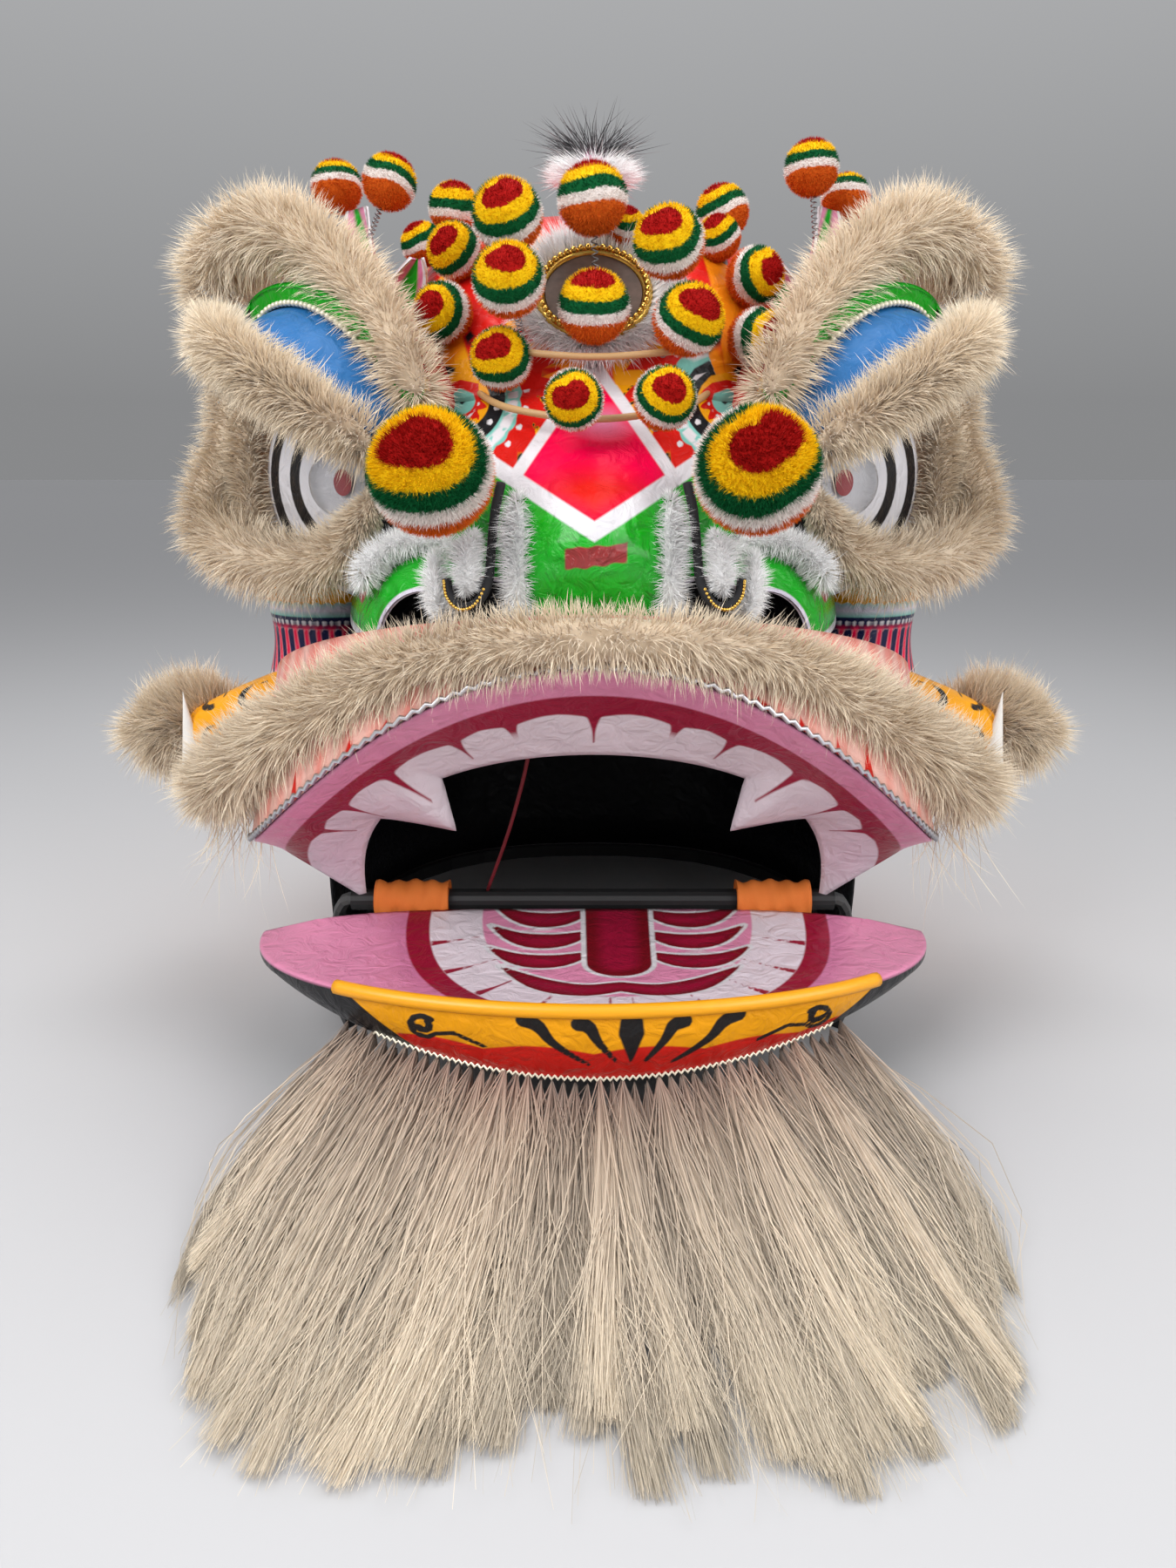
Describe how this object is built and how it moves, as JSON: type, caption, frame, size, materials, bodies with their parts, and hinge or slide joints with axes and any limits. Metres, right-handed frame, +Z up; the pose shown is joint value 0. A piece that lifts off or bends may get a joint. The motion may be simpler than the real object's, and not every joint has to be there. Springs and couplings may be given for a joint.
{
  "type": "lion dance head",
  "caption": "Hollow painted lion dance head with hinged jaw, lids and ears, fur edging, a long beard, a forehead mirror and pompoms on springs.",
  "frame": {"origin": "middle of the whole head's footprint on the floor, at the bottom of the rim hoop", "axes": "+X to the viewer's right, +Y from the face to the back of the head, +Z up; the face looks along -Y"},
  "size_m": [0.827, 0.956, 0.7078],
  "materials": {
    "pompom_wool": "short plush pile in rings of red, yellow, green, white and orange",
    "cream_fur": "deep beige-cream pile",
    "beard_hair": "long straight ivory hair",
    "bamboo": "split bamboo, bare",
    "black_bar": "black wrapped pole",
    "clear_dome": "clear glossy dome",
    "mirror_glass": "polished mirror in a gold sequin ring",
    "blue_satin": "sky-blue satin over a stiff shell",
    "red_cord": "thin red cord",
    "nose_paint": "glossy emerald paint over crinkled paper",
    "mouth_paint": "painted teeth, gum and lip",
    "jaw_paint": "painted jaw with teeth, tongue and yellow rim",
    "stripe_paint": "black and white stripes",
    "yellow_paint": "glossy yellow paint",
    "green_paint": "glossy green paint with white edges",
    "horn_paint": "pink and black dotted paint",
    "cheek_paint": "white, pink and navy flames",
    "face_paint": "orange-yellow paint with red flames"
  },
  "bodies": {
    "head": {"base_hoop": "bamboo", "brow_fur_left": "cream_fur", "brow_fur_right": "cream_fur", "brow_left": "green_paint", "brow_right": "green_paint", "cheek_left": "cheek_paint", "cheek_right": "cheek_paint", "eye_socket_left": "stripe_paint", "eye_socket_right": "stripe_paint", "eyeball_left": "clear_dome", "eyeball_right": "clear_dome", "gill_fur_left": "cream_fur", "gill_fur_right": "cream_fur", "gill_left": "yellow_paint", "gill_right": "yellow_paint", "hoop_lower": "bamboo", "hoop_upper": "bamboo", "horn": "horn_paint", "jaw_bar": "black_bar", "lip_fur": "cream_fur", "mirror": "mirror_glass", "mouth_cord": "red_cord", "muzzle": "cheek_paint", "pompom_01": "pompom_wool", "pompom_02": "pompom_wool", "pompom_03": "pompom_wool", "pompom_04": "pompom_wool", "pompom_05": "pompom_wool", "pompom_06": "pompom_wool", "pompom_07": "pompom_wool", "pompom_08": "pompom_wool", "pompom_09": "pompom_wool", "pompom_10": "pompom_wool", "pompom_11": "pompom_wool", "pompom_12": "pompom_wool", "pompom_13": "pompom_wool", "pompom_14": "pompom_wool", "pompom_15": "pompom_wool", "pompom_16": "pompom_wool", "pompom_17": "pompom_wool", "pompom_18": "pompom_wool", "pompom_nose_left": "pompom_wool", "pompom_nose_right": "pompom_wool", "rim_fur_left": "cream_fur", "rim_fur_right": "cream_fur", "skull": "face_paint", "snout": "nose_paint", "upper_teeth": "mouth_paint"},
    "jaw": {"jaw": "jaw_paint", "beard": "beard_hair"},
    "lid_left": {"lid_left": "blue_satin", "lid_fur_left": "cream_fur"},
    "lid_right": {"lid_right": "blue_satin", "lid_fur_right": "cream_fur"},
    "ear_left": {"ear_left": "green_paint", "pompom_ear_left_outer": "pompom_wool", "pompom_ear_left_inner": "pompom_wool"},
    "ear_right": {"ear_right": "green_paint", "pompom_ear_right_outer": "pompom_wool", "pompom_ear_right_inner": "pompom_wool"}
  },
  "joints": [
    {"name": "jaw_hinge", "type": "hinge", "parent": "head", "child": "jaw", "pos_m": [0, 0.03, 0.105], "axis": [-1, 0, 0], "range_deg": [0, 30], "deforming": ["beard"]},
    {"name": "lid_right_hinge", "type": "hinge", "parent": "head", "child": "lid_right", "pos_m": [0.122, -0.05, 0.455], "axis": [0.721, 0.515, 0.4635], "range_deg": [0, 25], "stiffness_Nm_per_rad": 0.15, "springref_deg": -34.38},
    {"name": "lid_left_hinge", "type": "hinge", "parent": "head", "child": "lid_left", "pos_m": [-0.122, -0.05, 0.455], "axis": [0.721, -0.515, -0.4635], "range_deg": [0, 25], "stiffness_Nm_per_rad": 0.15, "springref_deg": -34.38},
    {"name": "ear_right_hinge", "type": "hinge", "parent": "head", "child": "ear_right", "pos_m": [0.182, 0.116, 0.541], "axis": [-0.5445, -0.5835, 0.6025], "range_deg": [0, 18], "stiffness_Nm_per_rad": 0.12, "springref_deg": -28.65},
    {"name": "ear_left_hinge", "type": "hinge", "parent": "head", "child": "ear_left", "pos_m": [-0.182, 0.116, 0.541], "axis": [-0.5445, 0.5835, -0.6025], "range_deg": [0, 18], "stiffness_Nm_per_rad": 0.12, "springref_deg": -28.65}
  ]
}
